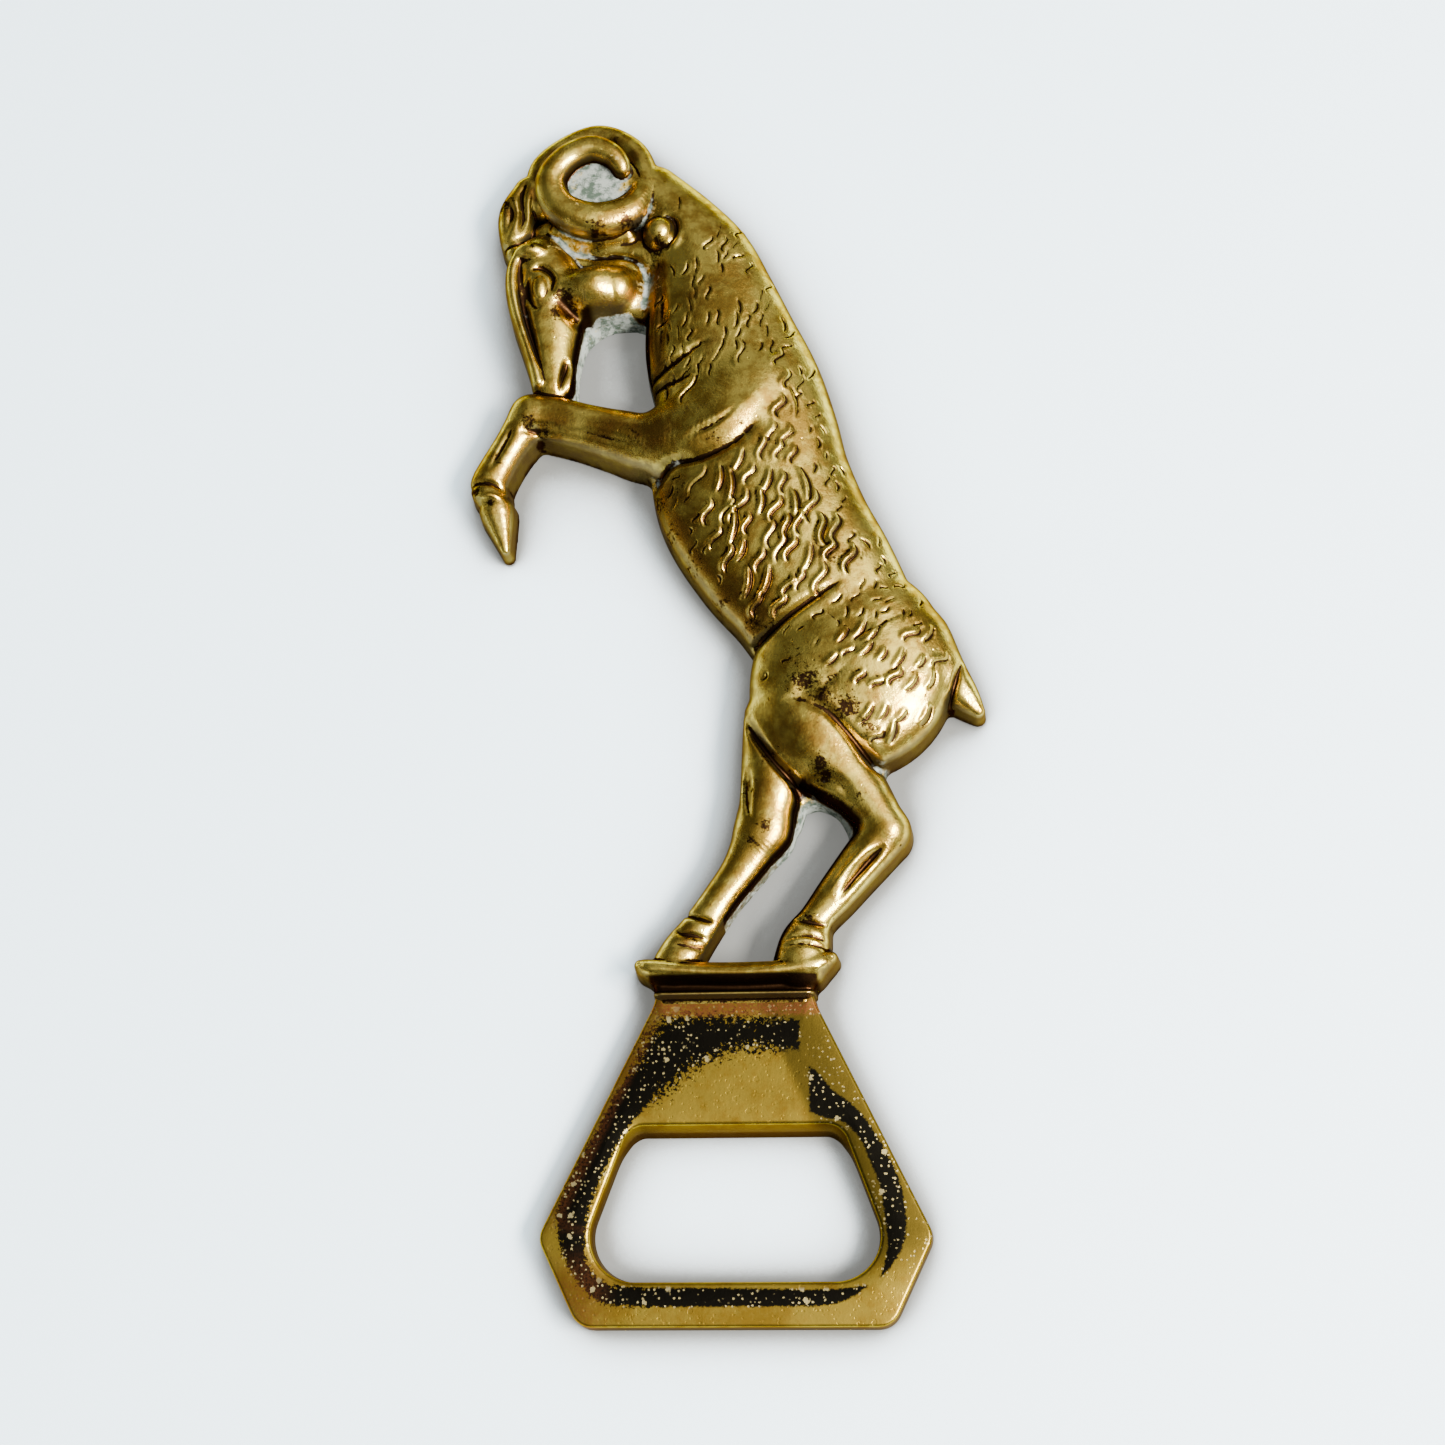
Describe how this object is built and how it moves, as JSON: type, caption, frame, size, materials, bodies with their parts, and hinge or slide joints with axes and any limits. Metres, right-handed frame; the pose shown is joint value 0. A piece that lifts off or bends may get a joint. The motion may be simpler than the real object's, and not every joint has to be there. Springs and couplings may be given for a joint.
{
  "type": "bottle opener",
  "caption": "Cast brass bottle opener: a rearing ram in relief on a moulded plinth above a flared plate with a trapezoid opening that levers off crown caps; flat back.",
  "frame": {"origin": "centre of the bounding box in plan, on the flat back", "axes": "+Y up the figure from the opener plate to the horn, +Z out of the flat back through the relief, +X to the right as the relief is looked at, with the ram's head at -X"},
  "size_m": [0.0602, 0.1448, 0.0095],
  "materials": {
    "cast_brass": "polished cast brass, aged, with dark patina in the hollows and bright wear on the crowns",
    "plate_brass": "polished flat brass with fine pits, specks and light scratches"
  },
  "bodies": {
    "root": {"lower_bar": "plate_brass", "left_arm": "plate_brass", "right_arm": "plate_brass", "web": "plate_brass", "plinth": "cast_brass", "far_shank": "cast_brass", "near_shank": "cast_brass", "far_thigh": "cast_brass", "near_thigh": "cast_brass", "tail": "cast_brass", "fore_hoof": "cast_brass", "fore_cannon": "cast_brass", "forearm": "cast_brass", "muzzle": "cast_brass", "haunch": "cast_brass", "barrel": "cast_brass", "shoulder": "cast_brass", "horn": "cast_brass", "ear": "cast_brass", "neck": "cast_brass", "head": "cast_brass"}
  },
  "joints": []
}
